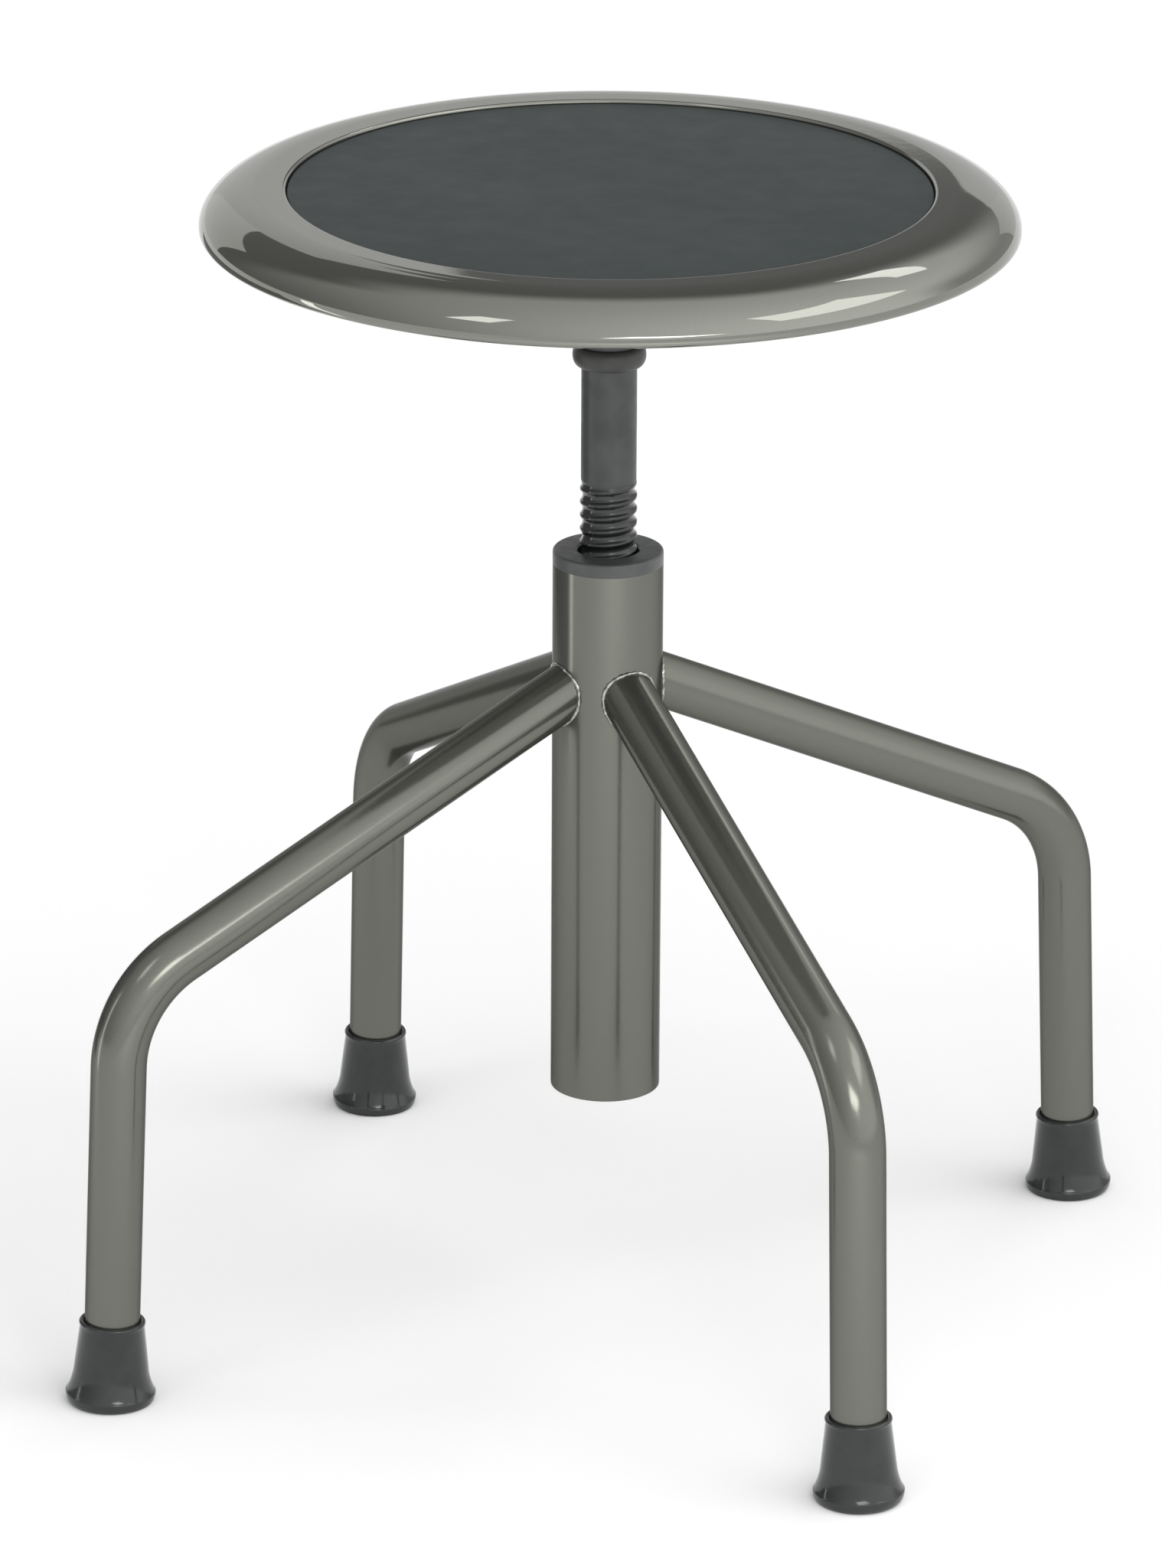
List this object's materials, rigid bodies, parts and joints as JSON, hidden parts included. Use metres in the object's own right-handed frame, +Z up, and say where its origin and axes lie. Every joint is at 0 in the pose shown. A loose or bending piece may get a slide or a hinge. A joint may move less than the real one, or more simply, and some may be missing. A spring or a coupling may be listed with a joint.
{
  "type": "drafting stool",
  "caption": "Low backless screw-lift stool: a round steel seat with a flat insert on a threaded spindle, turning in a column on bent tube legs with rubber feet.",
  "frame": {"origin": "on the floor, under the column's axis", "axes": "+Z up along the column; the legs lie 47 degrees either side of the X axis, so the stool is symmetric about XZ and YZ"},
  "size_m": [0.3964, 0.422, 0.5388],
  "materials": {
    "pan_lacquer": "glossy clear lacquer over pewter grey pressed steel",
    "tube_lacquer": "glossy metallic olive grey lacquer on steel tube",
    "weld": "lacquered weld bead",
    "hardboard": "matte dark tempered hardboard",
    "black_steel": "oiled black steel",
    "black_nylon": "satin charcoal nylon",
    "bare_steel": "machined steel",
    "zinc": "zinc plated steel",
    "rubber": "glossy charcoal rubber"
  },
  "bodies": {
    "base": {"column_tube": "tube_lacquer", "column_cap": "black_nylon", "spindle_nut": "bare_steel", "leg_welds": "weld", "foot_washers": "zinc", "leg_back_right": "tube_lacquer", "leg_back_left": "tube_lacquer", "leg_front_left": "tube_lacquer", "leg_front_right": "tube_lacquer", "foot_back_right": "rubber", "foot_back_left": "rubber", "foot_front_left": "rubber", "foot_front_right": "rubber"},
    "lift": {"stop_collar": "black_nylon"},
    "seat": {"spindle": "black_steel", "spindle_hub": "black_steel", "spindle_plate": "black_steel", "seat_pan": "pan_lacquer", "seat_insert": "hardboard", "seat_bolts": "zinc", "lock_washers": "zinc", "seat_nuts": "zinc", "stop_washer": "zinc", "stop_screw": "zinc"}
  },
  "joints": [
    {"name": "seat_lift", "type": "slide", "parent": "base", "child": "lift", "axis": [0, 0, 1], "range_m": [-0.0875, 0.0649]},
    {"name": "seat_turn", "type": "hinge", "parent": "lift", "child": "seat", "pos_m": [0, 0, 0.4651], "axis": [0, 0, 1], "range_deg": [-4960.6, 3679.3]}
  ],
  "couplings": [
    {"joint": "seat_lift", "follows": "seat_turn", "m_per_rad": 0.0010106}
  ]
}
